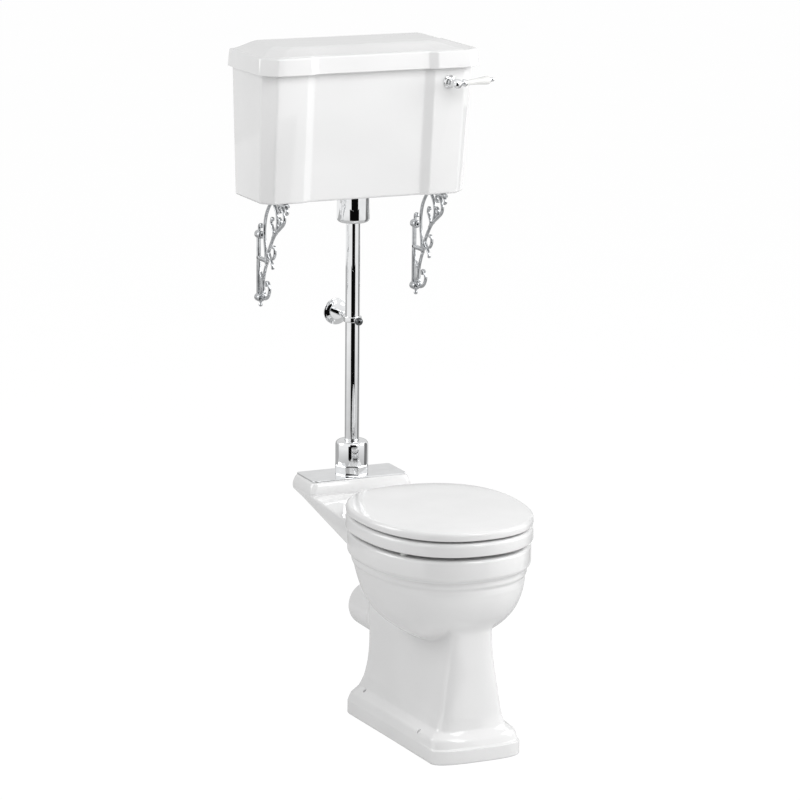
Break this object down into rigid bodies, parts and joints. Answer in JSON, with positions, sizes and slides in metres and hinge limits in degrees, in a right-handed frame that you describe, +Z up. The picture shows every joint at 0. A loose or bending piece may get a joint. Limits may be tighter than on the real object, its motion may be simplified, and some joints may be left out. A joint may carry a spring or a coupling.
{
  "type": "medium level toilet",
  "caption": "White china toilet pan and seat with a wall cistern on scroll brackets above it, joined by a chromed flush pipe, with a side lever.",
  "frame": {"origin": "on the floor, at the centre of the rectangle of four floor screw holes in the pan's foot, in the plane of symmetry", "axes": "+X to the right as seen from the front, +Y back to the wall, +Z up"},
  "size_m": [0.5328, 0.785, 1.434],
  "materials": {
    "china": "white glazed vitreous china",
    "handle_china": "white glazed ceramic",
    "chrome": "polished chromium plate",
    "seat": "white gloss",
    "rubber": "black rubber",
    "clear_buffer": "pale soft plastic",
    "works_plastic": "moulded white plastic",
    "brass": "plain brass"
  },
  "bodies": {
    "fixed_assembly": {"pan": "china", "cistern_body": "china", "cover_plate": "chrome", "base_nut": "chrome", "bell_cover": "chrome", "flush_pipe": "chrome", "outlet_cup": "chrome", "lever_rose": "chrome", "bracket_left": "chrome", "bracket_right": "chrome", "clip_flange": "chrome", "clip_arm": "chrome", "clip_ring": "chrome", "clip_finial": "chrome", "hinge_rod": "chrome", "hinge_posts": "chrome", "hinge_bolts": "chrome", "float_valve_pin": "chrome", "inlet_seal": "rubber", "cone_seal": "rubber", "siphon_washer": "rubber", "float_valve_washer": "rubber", "hinge_washers": "rubber", "siphon_body": "works_plastic", "siphon_backnut": "works_plastic", "float_valve": "works_plastic", "float_valve_nut": "works_plastic", "hinge_wing_nuts": "works_plastic", "lever_locknut": "brass"},
    "seat_ring_body": {"seat_ring": "seat", "ring_buffers": "clear_buffer", "ring_hinge_plates": "chrome"},
    "seat_cover_body": {"seat_cover": "seat", "cover_buffers": "clear_buffer", "cover_hinge_plates": "chrome"},
    "flush_lever": {"lever_spindle": "chrome", "lever_hub": "chrome", "lever_ferrule": "chrome", "lever_grip": "handle_china", "lever_tip": "chrome", "lever_inner_arm": "brass"},
    "siphon_lifter": {"lift_rod": "chrome", "plunger_disc": "works_plastic", "plunger_flap": "rubber"},
    "float": {"float_arm": "brass", "float_ball": "works_plastic"},
    "lid": {"cistern_lid": "china"}
  },
  "joints": [
    {"name": "ring_lift", "type": "hinge", "parent": "fixed_assembly", "child": "seat_ring_body", "pos_m": [0, 0.206, 0.47], "axis": [-1, 0, 0], "range_deg": [0, 100]},
    {"name": "cover_lift", "type": "hinge", "parent": "seat_ring_body", "child": "seat_cover_body", "pos_m": [0, 0.206, 0.47], "axis": [1, 0, 0], "range_deg": [-100, 0]},
    {"name": "lever_turn", "type": "hinge", "parent": "fixed_assembly", "child": "flush_lever", "pos_m": [0.184, 0.30589, 1.349], "axis": [0, 1, 0], "range_deg": [0, 22], "stiffness_Nm_per_rad": 0.6, "springref_deg": -22.92},
    {"name": "siphon_lift", "type": "slide", "parent": "fixed_assembly", "child": "siphon_lifter", "axis": [0, 0, 1], "range_m": [0, 0.0485]},
    {"name": "float_rise", "type": "hinge", "parent": "fixed_assembly", "child": "float", "pos_m": [-0.128, 0.493, 1.306], "axis": [0, -1, 0], "range_deg": [0, 30]},
    {"name": "lid_lift", "type": "slide", "parent": "fixed_assembly", "child": "lid", "axis": [0, 0, 1], "range_m": [0, 0.12]}
  ],
  "couplings": [
    {"joint": "siphon_lift", "follows": "lever_turn", "m_per_rad": 0.126}
  ]
}
